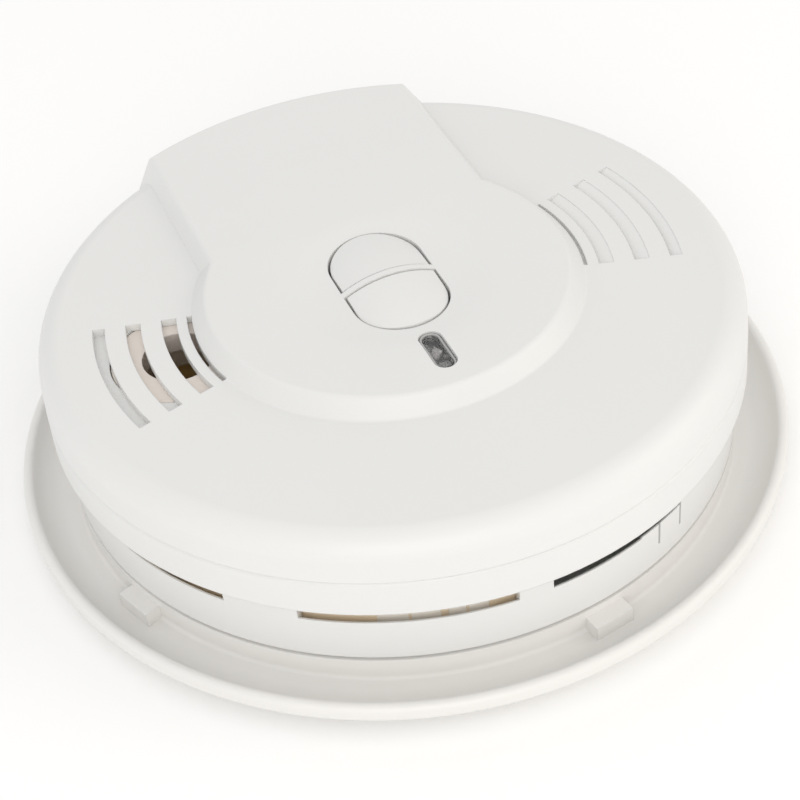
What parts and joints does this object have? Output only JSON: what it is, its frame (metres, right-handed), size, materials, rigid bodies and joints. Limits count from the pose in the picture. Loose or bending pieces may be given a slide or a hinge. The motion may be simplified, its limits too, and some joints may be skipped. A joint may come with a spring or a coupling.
{
  "type": "smoke alarm",
  "caption": "Round ceiling smoke alarm that twist-locks onto a dish-shaped mounting ring, with test and hush keys, a light window, horn slots and side smoke vents.",
  "frame": {"origin": "centre of the mounting ring's back face, which lies on the ceiling", "axes": "+Z out of the ceiling through the alarm, +Y towards the cover's raised tongue, -X towards the open horn slots"},
  "size_m": [0.146, 0.146, 0.0396],
  "materials": {
    "white_housing": "fine moulded texture",
    "clear_lens": "clear smoke grey",
    "board_green": "solder resist",
    "beige_horn": "moulded",
    "brass": "satin",
    "ceramic_white": "unglazed",
    "bright_metal": "satin",
    "inner_white": "moulded",
    "cell_sleeve": "shrink sleeve",
    "film_brown": "dipped",
    "can_sleeve": "shrink sleeve",
    "varistor_blue": "dipped",
    "copper_wire": "enamelled",
    "ferrite": "sintered",
    "resistor_tan": "lacquer",
    "black_moulding": "moulded",
    "capacitor_orange": "dipped",
    "green_led": "tinted epoxy",
    "red_led": "tinted epoxy",
    "blank_label": "satin film"
  },
  "bodies": {
    "ring": {"mounting_ring": "white_housing"},
    "alarm": {"base_housing": "white_housing", "front_cover": "white_housing", "circuit_board": "board_green", "board_screws": "bright_metal", "twist_lugs": "white_housing", "board_posts": "white_housing", "inner_carrier": "beige_horn", "smoke_vanes": "white_housing", "horn_housing": "beige_horn", "horn_base": "beige_horn", "piezo_disc": "brass", "piezo_ceramic": "ceramic_white", "horn_contacts": "bright_metal", "chamber_base": "inner_white", "chamber_can": "bright_metal", "collector_plate": "bright_metal", "source_holder": "brass", "source_foil": "bright_metal", "backup_battery": "cell_sleeve", "battery_cradle": "inner_white", "battery_tabs": "bright_metal", "inlet_shell": "inner_white", "inlet_pins": "brass", "film_capacitor": "film_brown", "ceramic_power_resistor": "ceramic_white", "smoothing_capacitor": "can_sleeve", "small_electrolytics": "can_sleeve", "surge_varistor": "varistor_blue", "horn_coil": "copper_wire", "coil_core": "ferrite", "resistors": "resistor_tan", "resistor_leads": "bright_metal", "diodes": "black_moulding", "diode_leads": "bright_metal", "detector_chip": "black_moulding", "control_chip": "black_moulding", "chip_legs": "bright_metal", "transistors": "black_moulding", "disc_capacitors": "capacitor_orange", "test_switch": "black_moulding", "hush_switch": "black_moulding", "test_dome": "bright_metal", "hush_dome": "bright_metal", "power_light": "green_led", "alarm_light": "red_led", "light_pipe": "clear_lens", "rating_label": "blank_label"},
    "test_key": {"test_key": "white_housing"},
    "hush_key": {"hush_key": "white_housing"},
    "test_plunger": {"test_plunger": "black_moulding"},
    "hush_plunger": {"hush_plunger": "black_moulding"}
  },
  "joints": [
    {"name": "alarm_twist", "type": "hinge", "parent": "ring", "child": "alarm", "pos_m": [0, 0, 0.005], "axis": [0, 0, 1], "range_deg": [0, 15]},
    {"name": "test_press", "type": "slide", "parent": "alarm", "child": "test_key", "axis": [0, 0, -1], "range_m": [0, 0.0006], "stiffness_N_per_m": 2000},
    {"name": "hush_press", "type": "slide", "parent": "alarm", "child": "hush_key", "axis": [0, 0, -1], "range_m": [0, 0.0006], "stiffness_N_per_m": 2000},
    {"name": "test_plunge", "type": "slide", "parent": "alarm", "child": "test_plunger", "axis": [0, 0, -1], "range_m": [0, 0.0006], "deforming": ["test_dome"]},
    {"name": "hush_plunge", "type": "slide", "parent": "alarm", "child": "hush_plunger", "axis": [0, 0, -1], "range_m": [0, 0.0006], "deforming": ["hush_dome"]}
  ],
  "couplings": [
    {"joint": "test_plunge", "follows": "test_press", "ratio": 1},
    {"joint": "hush_plunge", "follows": "hush_press", "ratio": 1}
  ]
}
